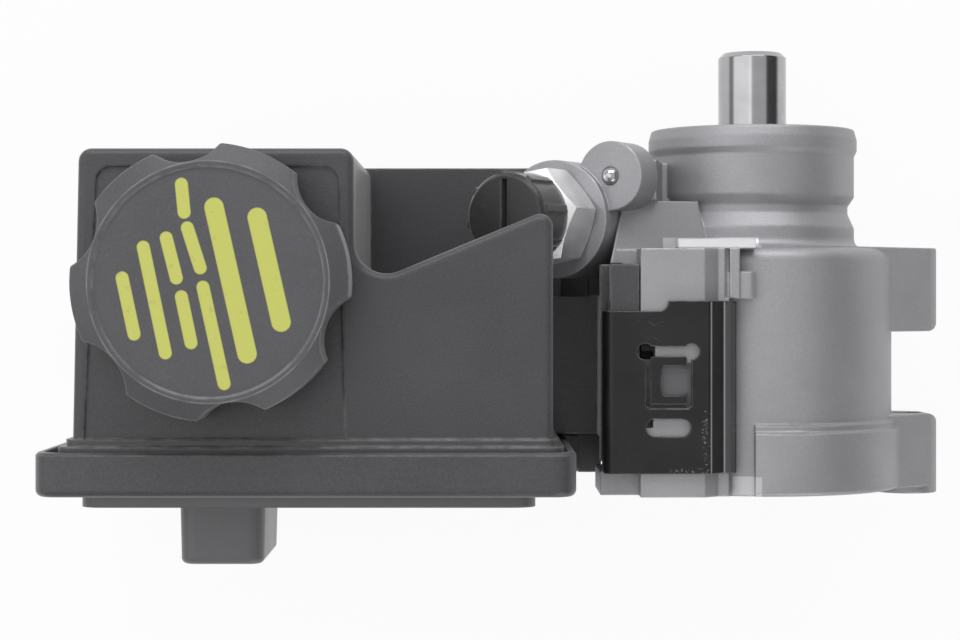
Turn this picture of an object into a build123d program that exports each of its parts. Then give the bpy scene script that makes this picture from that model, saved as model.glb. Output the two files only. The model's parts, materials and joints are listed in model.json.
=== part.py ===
from build123d import *
from math import cos, radians, sin
import os

# A vane pump with its fluid tank clipped to its side, in millimetres.
# The origin is on the shaft axis at the nose face. The shaft leaves along +Y, the filler cap
# is on +Z and the tank lies on -X. Depths are measured back from the nose face, along -Y.

# Clearances
press_gap = 0.02
running_gap = 0.05
sliding_gap = 0.3
seat_gap = 0.1

# Drive shaft
shaft_radius = 8.5
shaft_reach = 19.5
shaft_tip_radius = 1.2
puller_hole_radius = 3.3
puller_hole_depth = 24.0
seat_relief_front = 0.4
seat_relief_width = 1.2
seat_relief_depth = 0.4
spline_root_radius = 6.2
spline_tooth_height = 0.9
spline_tooth_width = 1.6
spline_teeth = 12

# Nose, neck, barrel and rear flange of the casting
nose_radius = 26.0
nose_length = 5.2
nose_foot = 6.8
neck_radius = 25.3
neck_end = 16.8
waist_radius = 23.7
waist_depth = 19.2
waist_length = 1.8
barrel_radius = 34.5
pad_rise = 1.5
shoulder_depth = 29.6
flange_radius = 36.5
flange_width = 16.9
flange_left_in = 32.5
rear_lip = 7.8
cast_round = 2.0

# Ball bearing behind its retaining ring, then seal and bushing
bearing_outer_radius = 20.0
bearing_width = 12.0
bearing_front = 2.6
race_thickness = 3.2
ball_radius = 3.2
ball_groove_gap = 0.3
ball_count = 8
bearing_ring_thickness = 1.2
bearing_ring_groove = 1.0
seal_radius = 14.0
seal_width = 6.4
bushing_wall = 2.0
bushing_length = 12.0

# Pumping group inside the rear cavity
cavity_radius = 30.0
cavity_front = 36.0
plate_thickness = 5.0
cam_width = 18.0
pressure_plate_thickness = 9.0
rotor_radius = 22.2
vane_count = 10
vane_thickness = 1.8
vane_height = 8.6
cam_short_radius = 22.8
cam_long_radius = 24.8
dowel_radius = 2.0
dowel_circle = 27.3
dowel_angle = 35.0
dowel_reach = 2.8
port_inner_radius = 16.0
port_outer_radius = 21.5
port_arc = 42.0
spring_washer_height = 3.4
spring_washer_thickness = 1.4
end_cover_thickness = 8.0
end_ring_wire = 1.7
end_ring_groove = 1.1
o_ring_wire = 1.2

# Flow control bore, tilted in the XZ plane, with its outlet fitting
valve_tilt = 30.0
valve_face_out = 14.9
valve_face_depth = 23.0
valve_face_drop = 8.2
valve_boss_radius = 14.2
valve_boss_length = 66.0
valve_bore_radius = 8.0
valve_bore_depth = 60.0
spool_length = 27.0
spool_front = 12.5
spool_land = 7.0
spool_waist_radius = 5.6
spring_coil_radius = 5.4
spring_wire_radius = 0.65
spring_turns = 5
thread_radius = 9.2
thread_length = 12.0
hex_across_flats = 21.5
hex_length = 12.5
hex_turn = 10.0
hose_bore_radius = 6.8
hose_bore_depth = 13.0
outlet_passage_radius = 3.4
plug_radius = 10.2
plug_depth = 11.0
plug_slit = 1.5

# Small boss with a pressed ball, parallel to the flow control bore
ball_boss_out = 1.6
ball_boss_depth = 12.9
ball_boss_drop = 2.5
ball_boss_radius = 8.3
ball_boss_length = 9.0
ball_plug_radius = 2.2
saddle_front = 18.5
saddle_left_drop = 3.3
saddle_right_drop = 3.0
saddle_slope = 11.0

# Side pad and rails that carry the tank
pad_edge_drop = 4.5
pad_front = 30.3
pad_rear_setback = 0.4
rail_left_in = 5.0
rail_step_in = 20.0
rail_slope_in = 23.4
rail_right_in = 28.5
rail_rise = 7.2
rail_drop = 2.8
rail_undercut = 2.2
rail_head = 5.0
clip_bay_front = 42.0
stop_tab_width = 3.8
stop_tab_drop = 0.6
front_chamfer = 2.4
front_chamfer_left_in = 14.0
front_chamfer_right_in = 32.5
stop_tab_front = 35.7
rear_wing_out = 4.0
rear_wing_front = 83.0
rear_wing_top = 35.0
rear_wing_bottom = 10.0

# Mounting ears, in two pairs
ear_radius = 7.8
ear_bore_radius = 4.3
ear_out = 4.7
ear_drop = 4.0
low_ear_x = 14.0
low_ear_out = 4.7
front_ear_start = 29.4
front_ear_end = 50.2
rear_ear_length = 19.9
rear_ear_stand = 1.9
ear_round = 1.0
ear_end_round = 3.2

# Spring clips
clip_steel = 1.6
clip_left_out = 3.7
clip_right_in = 27.7
clip_front = 42.6
clip_left_front = 45.0
clip_rear = 82.9
clip_leg = 9.0
clip_hook = 1.7
clip_hole_radius = 1.9
clip_slot_length = 10.5
clip_slot_width = 4.2
tongue_width = 9.6
tongue_rear = 67.2
tongue_cut = 1.1
tongue_in = 11.4
tongue_gap = 2.4
tongue_fold = 0.35
clip_step_width = 14.0
clip_hole_depth = 54.4
clip_hole_pitch = 10.9
window_shift = 1.3
window_width = 6.0
window_length = 7.0
window_depth = 61.2
clip_slot_depth = 72.2

# Tank
tank_wall = 2.5
tank_left_front_out = 123.2
tank_left_rear_out = 124.7
tank_block_right_out = 61.0
tank_front = 8.1
tank_rear = 84.1
tank_top_z = 60.0
tank_bottom_z = -42.0
tank_shelf_z = -20.0
tank_right_out = 16.0
tank_low_right_out = 11.5
tank_wall_depth = 41.5
tank_corner = 3.0
tank_edge_round = 1.8
notch_radius = 7.4
notch_corner_depth = 40.1
wing_corner_depth = 21.4
wing_roof = 4.0
panel_recess = 0.6
panel_front = 12.2
panel_left_front_out = 119.0
panel_left_rear_out = 121.8
panel_right_front_out = 64.3
panel_right_rear_out = 62.9
panel_corner = 3.6
tank_foot_front = 73.8
tank_foot = 1.3
tank_flange_front = 75.4
tank_flange_rear = 79.4
tank_flange_left_out = 127.6
tank_flange_reach = 2.5
neck_inner_radius = 16.5
neck_outer_radius = 19.5
neck_rise = 7.5

# Plate, ribs and rails on the tank's right side, which stand against the pump's pad
plate_thickness_x = 3.7
plate_front = 41.5
plate_rear = 75.0
rail_front = 34.0
rail_rear = 80.5
rib_thickness = 3.0
rib_heights = (17.0, -13.0)
low_rib_height = -31.0
low_rib_front = 35.0
spigot_boss_radius = 8.5

# Rear cover of the tank
rim_left_out = 132.6
rim_right_out = 10.8
rim_low_right_out = 5.5
rim_top_z = 65.0
rim_low_top_z = -12.0
rim_bottom_z = -47.0
rim_corner = 5.0
rim_front = 76.6
rim_rear = 86.6
rim_wall = 1.7
rim_edge_round = 1.6
rim_lug_out = 1.4
rim_lug_height = 18.0
pan_inset = 9.0
pan_rise = 3.0
return_boss_out = 94.2
return_boss_width = 20.8
return_boss_top_z = 30.0
return_boss_bottom_z = -10.0
return_boss_rear = 105.6
nipple_radius = 5.5
nipple_bore_radius = 4.0
nipple_length = 26.0
nipple_depth = 98.2
nipple_collar_radius = 6.9
nipple_collar_height = 2.0
nipple_tip_chamfer = 0.6

# Filler cap
cap_out = 91.7
cap_y = -38.5
cap_lobe_radius = 30.5
cap_valley_radius = 26.6
cap_scallop_radius = 10.7
cap_lobe_angle = 9.4
cap_lobes = 6
cap_top_z = 78.0
cap_bottom_z = 61.2
cap_disc_radius = 25.3
cap_disc_recess = 0.5
cap_stem_radius = 15.4
cap_stem_end_z = 63.0
cap_edge_round = 0.8
cap_rim_width = 1.1
cap_slope_drop = 2.6
gasket_thickness = 1.6

# Inlet between tank and casting
inlet_depth = 56.0
inlet_radius = 7.5
inlet_bore_radius = 5.0
spigot_reach = 4.5

os.makedirs("parts", exist_ok=True)


def deep(depth):
    """A plane square to the shaft, the given depth behind the nose face, facing back."""
    return Plane.XZ.offset(depth)


def level(height):
    """A horizontal plane at the given height."""
    return Plane.XY.offset(height)


def tilted(centre, along=0.0):
    """A plane square to the flow control bore, moved outwards along it."""
    out = Vector(-sin(radians(valve_tilt)), 0, cos(radians(valve_tilt)))
    across = (cos(radians(valve_tilt)), 0, sin(radians(valve_tilt)))
    return Plane(origin=centre + out * along, x_dir=across, z_dir=out)


def half_section(*corners):
    """Half of a turned section, from (radius, depth) corners, to revolve about the shaft axis."""
    with BuildSketch(Plane.XY) as section:
        with BuildLine():
            Polyline(*[(radius, -depth) for radius, depth in corners], close=True)
        make_face()
    return section.sketch


def ring_section(inner, outer, front, rear):
    """Half of the section of a plain ring between two depths."""
    return half_section((inner, front), (outer, front), (outer, rear), (inner, rear))


def round_section(radius, depth, wire):
    """The section of a round wire or seal at a radius from the shaft axis."""
    with BuildSketch(Plane.XY) as section:
        with Locations((radius, -depth)):
            Circle(wire)
    return section.sketch


def outline(plane, *corners, rounding=0.0):
    """A closed straight-sided outline on a plane, with all its corners rounded alike."""
    with BuildSketch(plane) as shape:
        with BuildLine():
            Polyline(*corners, close=True)
        make_face()
        if rounding:
            fillet(shape.vertices(), rounding)
    return shape.sketch


# Places worked out from the sizes above
pad_face_x = -barrel_radius - pad_rise
tank_left_front_x = pad_face_x - tank_left_front_out
tank_left_rear_x = pad_face_x - tank_left_rear_out
tank_block_right_x = pad_face_x - tank_block_right_out
tank_right_x = pad_face_x - tank_right_out
tank_low_right_x = pad_face_x - tank_low_right_out
panel_left_front_x = pad_face_x - panel_left_front_out
panel_left_rear_x = pad_face_x - panel_left_rear_out
panel_right_front_x = pad_face_x - panel_right_front_out
panel_right_rear_x = pad_face_x - panel_right_rear_out
tank_flange_left_x = pad_face_x - tank_flange_left_out
rim_left_x = pad_face_x - rim_left_out
rim_right_x = pad_face_x - rim_right_out
rim_low_right_x = pad_face_x - rim_low_right_out
rim_lug_x = pad_face_x - rim_lug_out
return_boss_x = pad_face_x - return_boss_out
cap_x = pad_face_x - cap_out
clip_left_x = pad_face_x - clip_left_out
rear_wing_x = pad_face_x - rear_wing_out
rail_left_x = pad_face_x + rail_left_in
rail_step_x = pad_face_x + rail_step_in
rail_slope_x = pad_face_x + rail_slope_in
rail_right_x = pad_face_x + rail_right_in
clip_right_x = pad_face_x + clip_right_in
flange_left_x = pad_face_x + flange_left_in
bearing_rear = bearing_front + bearing_width
seal_rear = bearing_rear + seat_gap + seal_width
bushing_front = seal_rear + cast_round
bushing_rear = bushing_front + bushing_length
cam_front = cavity_front + plate_thickness
cam_rear = cam_front + cam_width
pressure_rear = cam_rear + pressure_plate_thickness
cover_front = pressure_rear + spring_washer_height
cover_rear = cover_front + end_cover_thickness
end_ring_depth = cover_rear + end_ring_wire
housing_length = end_ring_depth + rear_lip
barrel_rear = housing_length - flange_width
rear_ear_end = housing_length + rear_ear_stand
rear_ear_start = rear_ear_end - rear_ear_length
ear_x = barrel_radius + ear_out
ear_z = -ear_drop
low_ear_z = -barrel_radius - low_ear_out
pad_rear = housing_length - pad_rear_setback
pad_half_height = barrel_radius - pad_edge_drop
rail_top_z = barrel_radius + rail_rise
tongue_x = pad_face_x + tongue_in
clip_hole_xs = (tongue_x - clip_hole_pitch / 2, tongue_x + clip_hole_pitch / 2)
valve_face = Vector(pad_face_x - valve_face_out, -valve_face_depth, barrel_radius - valve_face_drop)
ball_boss_face = Vector(pad_face_x - ball_boss_out, -ball_boss_depth, barrel_radius - ball_boss_drop)
pump_disc_radius = cavity_radius - running_gap
shaft_rear = cam_rear + plate_thickness
ball_circle = (shaft_radius + bearing_outer_radius) / 2

# Drive shaft, with the hole for the pulley installer and a spline for the rotor
with BuildPart() as drive_shaft:
    revolve(
        half_section(
            (0, -shaft_reach),
            (shaft_radius - shaft_tip_radius, -shaft_reach),
            (shaft_radius, shaft_tip_radius - shaft_reach),
            (shaft_radius, seat_relief_front),
            (shaft_radius - seat_relief_depth, seat_relief_front),
            (shaft_radius - seat_relief_depth, seat_relief_front + seat_relief_width),
            (shaft_radius, seat_relief_front + seat_relief_width),
            (shaft_radius, cam_front),
            (spline_root_radius, cam_front),
            (spline_root_radius, shaft_rear),
            (0, shaft_rear),
        ),
        axis=Axis.Y,
    )
    with BuildSketch(deep(cam_front)):
        with PolarLocations(spline_root_radius, spline_teeth):
            Rectangle(2 * spline_tooth_height, spline_tooth_width)
    extrude(amount=cam_width)
    with BuildSketch(deep(-shaft_reach)):
        Circle(puller_hole_radius)
    extrude(amount=puller_hole_depth, mode=Mode.SUBTRACT)
drive_shaft.part.label = "drive_shaft"
export_step(drive_shaft.part, "parts/drive_shaft.step")

# Ball bearing, in three pieces
with BuildPart() as bearing_inner_race:
    revolve(
        ring_section(shaft_radius, shaft_radius + race_thickness, bearing_front, bearing_rear),
        axis=Axis.Y,
    )
    revolve(
        round_section(ball_circle, (bearing_front + bearing_rear) / 2, ball_radius + ball_groove_gap),
        axis=Axis.Y,
        mode=Mode.SUBTRACT,
    )
bearing_inner_race.part.label = "bearing_inner_race"
export_step(bearing_inner_race.part, "parts/bearing_inner_race.step")

with BuildPart() as bearing_outer_race:
    revolve(
        ring_section(
            bearing_outer_radius - race_thickness,
            bearing_outer_radius - press_gap,
            bearing_front,
            bearing_rear,
        ),
        axis=Axis.Y,
    )
    revolve(
        round_section(ball_circle, (bearing_front + bearing_rear) / 2, ball_radius + ball_groove_gap),
        axis=Axis.Y,
        mode=Mode.SUBTRACT,
    )
bearing_outer_race.part.label = "bearing_outer_race"
export_step(bearing_outer_race.part, "parts/bearing_outer_race.step")

cage_half_thickness = 1.0
cage_half_width = 3.8
with BuildPart() as bearing_ball_cage:
    revolve(
        ring_section(
            ball_circle - cage_half_thickness,
            ball_circle + cage_half_thickness,
            (bearing_front + bearing_rear) / 2 - cage_half_width,
            (bearing_front + bearing_rear) / 2 + cage_half_width,
        ),
        axis=Axis.Y,
    )
    with Locations(deep((bearing_front + bearing_rear) / 2)):
        with PolarLocations(ball_circle, ball_count):
            Sphere(ball_radius)
bearing_ball_cage.part.label = "bearing_ball_cage"
export_step(bearing_ball_cage.part, "parts/bearing_ball_cage.step")

bearing_ring_depth = bearing_front - seat_gap - bearing_ring_thickness
bearing_ring_inner = bearing_outer_radius - 2 * bearing_ring_groove
bearing_ring_opening = 9.0
with BuildPart() as bearing_retaining_ring:
    with BuildSketch(deep(bearing_ring_depth)):
        Circle(bearing_outer_radius + bearing_ring_groove - seat_gap)
        Circle(bearing_ring_inner, mode=Mode.SUBTRACT)
        with Locations((0, bearing_ring_inner)):
            Rectangle(bearing_ring_opening, 4 * bearing_ring_groove, mode=Mode.SUBTRACT)
    extrude(amount=bearing_ring_thickness)
bearing_retaining_ring.part.label = "bearing_retaining_ring"
export_step(bearing_retaining_ring.part, "parts/bearing_retaining_ring.step")

# Shaft seal, a pressed case with a lip that reaches to the shaft, and the plain bushing
seal_case = 1.2
with BuildPart() as shaft_seal:
    revolve(
        half_section(
            (seal_radius - press_gap, seal_rear - seal_width),
            (seal_radius - press_gap, seal_rear),
            (seal_radius - seal_case, seal_rear),
            (seal_radius - seal_case, seal_rear - seal_width + seal_case),
            (shaft_radius + 2 * seal_case, seal_rear - seal_width + seal_case),
            (shaft_radius + 2 * seal_case, seal_rear - seal_case),
            (shaft_radius + running_gap, seal_rear - seal_case),
            (shaft_radius + running_gap, seal_rear - 2 * seal_case),
            (shaft_radius + seal_case, seal_rear - seal_width + seal_case),
            (shaft_radius + seal_case, seal_rear - seal_width),
        ),
        axis=Axis.Y,
    )
shaft_seal.part.label = "shaft_seal"
export_step(shaft_seal.part, "parts/shaft_seal.step")

with BuildPart() as shaft_bushing:
    revolve(
        ring_section(
            shaft_radius + running_gap,
            shaft_radius + bushing_wall - press_gap,
            bushing_front,
            min(bushing_rear, cavity_front),
        ),
        axis=Axis.Y,
    )
shaft_bushing.part.label = "shaft_bushing"
export_step(shaft_bushing.part, "parts/shaft_bushing.step")


def kidney_ports(depth):
    """Two curved ports in a pump plate, one on each side of the shaft."""
    middle = (port_inner_radius + port_outer_radius) / 2
    with BuildSketch(deep(depth)) as ports:
        with PolarLocations(0, 2):
            SlotArc(
                CenterArc((0, 0), middle, -port_arc / 2, port_arc),
                port_outer_radius - port_inner_radius,
            )
    return ports.sketch


def dowel_circles(depth, radius):
    """The two dowel places of the pumping group."""
    with BuildSketch(deep(depth)) as circles:
        with PolarLocations(dowel_circle, 2, start_angle=dowel_angle):
            Circle(radius)
    return circles.sketch


# Pumping group: thrust plate, cam ring, rotor, vanes and pressure plate on two dowels
dowel_hole_radius = dowel_radius + running_gap
with BuildPart() as thrust_plate:
    with BuildSketch(deep(cavity_front)):
        Circle(pump_disc_radius)
        Circle(shaft_radius + sliding_gap, mode=Mode.SUBTRACT)
    extrude(amount=plate_thickness - sliding_gap)
    extrude(kidney_ports(cavity_front), amount=plate_thickness, mode=Mode.SUBTRACT)
    extrude(dowel_circles(cavity_front, dowel_hole_radius), amount=plate_thickness, mode=Mode.SUBTRACT)
thrust_plate.part.label = "thrust_plate"
export_step(thrust_plate.part, "parts/thrust_plate.step")

with BuildPart() as cam_ring:
    with BuildSketch(deep(cam_front - sliding_gap)):
        Circle(pump_disc_radius)
        Ellipse(cam_long_radius, cam_short_radius, mode=Mode.SUBTRACT)
    extrude(amount=cam_width + 2 * sliding_gap)
    extrude(
        dowel_circles(cam_front - sliding_gap, dowel_hole_radius),
        amount=cam_width + 2 * sliding_gap,
        mode=Mode.SUBTRACT,
    )
cam_ring.part.label = "cam_ring"
export_step(cam_ring.part, "parts/cam_ring.step")

vane_tip_radius = cam_short_radius - sliding_gap
vane_root_radius = vane_tip_radius - vane_height
slot_width = vane_thickness + 2 * running_gap
slot_end_radius = vane_thickness * 0.75
with BuildPart() as rotor:
    with BuildSketch(deep(cam_front)):
        Circle(rotor_radius)
        Circle(spline_root_radius + running_gap, mode=Mode.SUBTRACT)
        with PolarLocations(spline_root_radius, spline_teeth):
            Rectangle(
                2 * spline_tooth_height + 2 * running_gap,
                spline_tooth_width + 2 * running_gap,
                mode=Mode.SUBTRACT,
            )
        with PolarLocations(rotor_radius, vane_count):
            Rectangle(2 * (rotor_radius - vane_root_radius), slot_width, mode=Mode.SUBTRACT)
        with PolarLocations(vane_root_radius, vane_count):
            Circle(slot_end_radius, mode=Mode.SUBTRACT)
    extrude(amount=cam_width)
rotor.part.label = "rotor"
export_step(rotor.part, "parts/rotor.step")

with BuildPart() as vanes:
    with BuildSketch(deep(cam_front + running_gap)):
        with PolarLocations((vane_tip_radius + vane_root_radius) / 2, vane_count):
            Rectangle(vane_height, vane_thickness)
    extrude(amount=cam_width - 2 * running_gap)
vanes.part.label = "vanes"
export_step(vanes.part, "parts/vanes.step")

rotor_ring_thickness = 1.2
with BuildPart() as rotor_retaining_ring:
    with BuildSketch(deep(cam_rear + running_gap)):
        Circle(spline_root_radius + 2 * spline_tooth_height)
        Circle(spline_root_radius + press_gap, mode=Mode.SUBTRACT)
        with Locations((0, spline_root_radius)):
            Rectangle(spline_root_radius, 4 * spline_tooth_height, mode=Mode.SUBTRACT)
    extrude(amount=rotor_ring_thickness)
rotor_retaining_ring.part.label = "rotor_retaining_ring"
export_step(rotor_retaining_ring.part, "parts/rotor_retaining_ring.step")

plate_seal_depth = cam_rear + pressure_plate_thickness / 2
plate_seal_groove = 2 * o_ring_wire - press_gap
pilot_radius = spline_root_radius + 2 * spline_tooth_height + sliding_gap
with BuildPart() as pressure_plate:
    revolve(
        half_section(
            (pilot_radius, cam_rear + sliding_gap),
            (pump_disc_radius, cam_rear + sliding_gap),
            (pump_disc_radius, plate_seal_depth - o_ring_wire),
            (pump_disc_radius - plate_seal_groove, plate_seal_depth - o_ring_wire),
            (pump_disc_radius - plate_seal_groove, plate_seal_depth + o_ring_wire),
            (pump_disc_radius, plate_seal_depth + o_ring_wire),
            (pump_disc_radius, pressure_rear),
            (pilot_radius, pressure_rear),
        ),
        axis=Axis.Y,
    )
    extrude(kidney_ports(cam_rear), amount=pressure_plate_thickness, mode=Mode.SUBTRACT)
    extrude(dowel_circles(cam_rear, dowel_hole_radius), amount=dowel_reach, mode=Mode.SUBTRACT)
pressure_plate.part.label = "pressure_plate"
export_step(pressure_plate.part, "parts/pressure_plate.step")

with BuildPart() as pressure_plate_seal:
    revolve(
        round_section(cavity_radius - o_ring_wire - running_gap, plate_seal_depth, o_ring_wire - press_gap),
        axis=Axis.Y,
    )
pressure_plate_seal.part.label = "pressure_plate_seal"
export_step(pressure_plate_seal.part, "parts/pressure_plate_seal.step")

with BuildPart() as dowel_pins:
    extrude(
        dowel_circles(cavity_front + sliding_gap, dowel_radius),
        amount=plate_thickness + cam_width + dowel_reach - 2 * sliding_gap,
    )
dowel_pins.part.label = "dowel_pins"
export_step(dowel_pins.part, "parts/dowel_pins.step")

spring_washer_inner = 12.0
spring_washer_outer = 25.0
with BuildPart() as pressure_plate_spring:
    revolve(
        half_section(
            (spring_washer_inner, cover_front - spring_washer_thickness - seat_gap),
            (spring_washer_outer, pressure_rear + seat_gap),
            (spring_washer_outer, pressure_rear + spring_washer_thickness + seat_gap),
            (spring_washer_inner, cover_front - seat_gap),
        ),
        axis=Axis.Y,
    )
pressure_plate_spring.part.label = "pressure_plate_spring"
export_step(pressure_plate_spring.part, "parts/pressure_plate_spring.step")

# End cover with its seal, held by a wire ring
cover_seal_depth = cover_front + end_cover_thickness / 2
cover_dish_radius = 21.0
cover_dish = 2.0
with BuildPart() as end_cover:
    revolve(
        half_section(
            (0, cover_front),
            (pump_disc_radius, cover_front),
            (pump_disc_radius, cover_seal_depth - o_ring_wire),
            (pump_disc_radius - plate_seal_groove, cover_seal_depth - o_ring_wire),
            (pump_disc_radius - plate_seal_groove, cover_seal_depth + o_ring_wire),
            (pump_disc_radius, cover_seal_depth + o_ring_wire),
            (pump_disc_radius, cover_rear),
            (cover_dish_radius, cover_rear),
            (cover_dish_radius - cover_dish, cover_rear - cover_dish),
            (0, cover_rear - cover_dish),
        ),
        axis=Axis.Y,
    )
end_cover.part.label = "end_cover"
export_step(end_cover.part, "parts/end_cover.step")

with BuildPart() as end_cover_seal:
    revolve(
        round_section(cavity_radius - o_ring_wire - running_gap, cover_seal_depth, o_ring_wire - press_gap),
        axis=Axis.Y,
    )
end_cover_seal.part.label = "end_cover_seal"
export_step(end_cover_seal.part, "parts/end_cover_seal.step")

end_ring_radius = cavity_radius + end_ring_groove - end_ring_wire / 2 - press_gap
end_ring_gap_angle = 8.0
with BuildPart() as end_cover_ring:
    revolve(
        round_section(end_ring_radius, end_ring_depth, end_ring_wire / 2),
        axis=Axis.Y,
        revolution_arc=360 - end_ring_gap_angle,
    )
end_cover_ring.part.label = "end_cover_ring"
export_step(end_cover_ring.part, "parts/end_cover_ring.step")

# Flow control spool and its spring, in the tilted bore
with BuildPart() as flow_control_spool:
    with BuildSketch(tilted(valve_face, -spool_front)):
        Circle(spool_waist_radius)
    extrude(amount=-spool_length)
    for land_start in (spool_front, spool_front + spool_length - spool_land):
        with BuildSketch(tilted(valve_face, -land_start)):
            Circle(valve_bore_radius - running_gap)
        extrude(amount=-spool_land)
flow_control_spool.part.label = "flow_control_spool"
export_step(flow_control_spool.part, "parts/flow_control_spool.step")

spring_room = valve_bore_depth - spool_front - spool_length - 2 * spring_wire_radius - 2 * seat_gap
spring_foot = tilted(valve_face, -valve_bore_depth + spring_wire_radius + seat_gap)
with BuildPart() as flow_control_spring:
    with BuildLine() as coil:
        Helix(
            spring_room / spring_turns,
            spring_room,
            spring_coil_radius,
            center=spring_foot.origin,
            direction=spring_foot.z_dir,
        )
    with BuildSketch(Plane(origin=coil.line @ 0, z_dir=coil.line % 0)):
        Circle(spring_wire_radius)
    sweep(path=coil.line, is_frenet=True)
flow_control_spring.part.label = "flow_control_spring"
export_step(flow_control_spring.part, "parts/flow_control_spring.step")

# Outlet fitting: hexagon with chamfered corners, threaded stem, flared socket for the hose
hex_corner_trim = -0.2
hex_trim_slope = 1.3
with BuildPart() as outlet_fitting:
    with BuildSketch(tilted(valve_face, seat_gap)):
        RegularPolygon(hex_across_flats / 2, 6, major_radius=False, rotation=hex_turn)
    extrude(amount=hex_length)
    with Locations(tilted(valve_face, seat_gap)):
        Cone(
            hex_across_flats / 2 + hex_corner_trim + hex_trim_slope * hex_length,
            hex_across_flats / 2 + hex_corner_trim,
            hex_length,
            align=(Align.CENTER, Align.CENTER, Align.MIN),
            mode=Mode.INTERSECT,
        )
        Cone(
            hex_across_flats / 2 + hex_corner_trim,
            hex_across_flats / 2 + hex_corner_trim + hex_trim_slope * hex_length,
            hex_length,
            align=(Align.CENTER, Align.CENTER, Align.MIN),
            mode=Mode.INTERSECT,
        )
    with BuildSketch(tilted(valve_face, seat_gap)):
        Circle(thread_radius - running_gap)
    extrude(amount=-thread_length)
    with BuildSketch(tilted(valve_face, seat_gap + hex_length)):
        Circle(hose_bore_radius)
    extrude(amount=-hose_bore_depth, mode=Mode.SUBTRACT)
    with BuildSketch(tilted(valve_face, seat_gap + hex_length)):
        Circle(outlet_passage_radius)
    extrude(amount=-hex_length - thread_length - seat_gap, mode=Mode.SUBTRACT)
outlet_fitting.part.label = "outlet_fitting"
export_step(outlet_fitting.part, "parts/outlet_fitting.step")

# Transit plug: a capped stub in the hose socket, with grip ribs and a slit across its face
fitting_end = seat_gap + hex_length
plug_shank_length = 8.0
plug_face_chamfer = 0.9
plug_slit_depth = 2.4
plug_rib_count = 8
plug_rib_width = 1.8
plug_rib_height = 0.6
with BuildPart() as transit_plug:
    with BuildSketch(tilted(valve_face, fitting_end + sliding_gap)):
        Circle(plug_radius)
    extrude(amount=plug_depth)
    chamfer(
        transit_plug.faces().sort_by(Axis(valve_face, tilted(valve_face).z_dir))[-1].edges(),
        plug_face_chamfer,
    )
    with BuildSketch(tilted(valve_face, fitting_end + sliding_gap)):
        with PolarLocations(plug_radius - plug_rib_height, plug_rib_count, start_angle=hex_turn):
            Rectangle(4 * plug_rib_height, plug_rib_width)
    extrude(amount=plug_depth - plug_face_chamfer)
    with BuildSketch(tilted(valve_face, fitting_end + sliding_gap)):
        Circle(hose_bore_radius - sliding_gap)
    extrude(amount=-plug_shank_length)
    with BuildSketch(tilted(valve_face, fitting_end + sliding_gap + plug_depth)):
        Rectangle(plug_slit, 1.7 * plug_radius)
    extrude(amount=-plug_slit_depth, mode=Mode.SUBTRACT)
transit_plug.part.label = "transit_plug"
export_step(transit_plug.part, "parts/transit_plug.step")

ball_plug_sink = 0.5
with BuildPart() as ball_plug:
    with Locations(tilted(ball_boss_face, -ball_plug_sink)):
        Sphere(ball_plug_radius)
ball_plug.part.label = "ball_plug"
export_step(ball_plug.part, "parts/ball_plug.step")

# Pump housing, one casting. The rails stand above and below the side pad.
rail_low_z = rail_top_z - rail_drop
stop_groove_width = 1.1
stop_groove_depth = 1.6
stop_groove_x = rail_slope_x + 2.5 * stop_groove_width
bay_right_x = clip_right_x - clip_steel - seat_gap
rail_right_head = 3.0
bay_neck_x = bay_right_x - rail_undercut
waist_end = waist_depth + waist_length
neck_foot_depth = waist_end + neck_radius - waist_radius + cast_round
shoulder_step = 2.0
ridge_height = 0.9
ridge_width = 1.8
ball_plug_hole_depth = 10.0
nose_chamfer = 0.8
inlet_seat_radius = 9.75
inlet_seat_depth = 2.45


def pad_outline(front, upward, corners):
    """Half of the pad and its rail, from the middle of the pad up or down."""
    points = [(pad_face_x, 0), (pad_face_x, pad_half_height), (rail_left_x, pad_half_height)]
    points += [(rail_left_x, rail_top_z), (rail_step_x, rail_top_z), (rail_slope_x, rail_low_z)]
    points += corners
    return outline(deep(front), *[(x, upward * z) for x, z in points])


def lug_plan(front, x, z):
    """A mounting lug whose sides run tangent into the barrel."""
    with BuildSketch(deep(front)) as plan:
        Circle(cavity_radius + cast_round / 2)
        with Locations((x, z)):
            Circle(ear_radius)
        make_hull()
    return plan.sketch


def lug_corner(depth, inward, radius):
    """What rounding one corner of the side lugs takes off, seen from above."""
    with BuildSketch(Plane.XY) as scrap:
        with Locations((ear_x + ear_radius, -depth)):
            Rectangle(2 * radius, 2 * radius)
        with Locations((ear_x + ear_radius - radius, -depth - inward * radius)):
            Circle(radius, mode=Mode.SUBTRACT)
            Rectangle(2 * radius, 4 * radius, align=(Align.MAX, Align.CENTER), mode=Mode.SUBTRACT)
            Rectangle(
                4 * radius,
                2 * radius,
                align=(Align.CENTER, Align.MAX if inward > 0 else Align.MIN),
                mode=Mode.SUBTRACT,
            )
    return scrap.sketch


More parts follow.
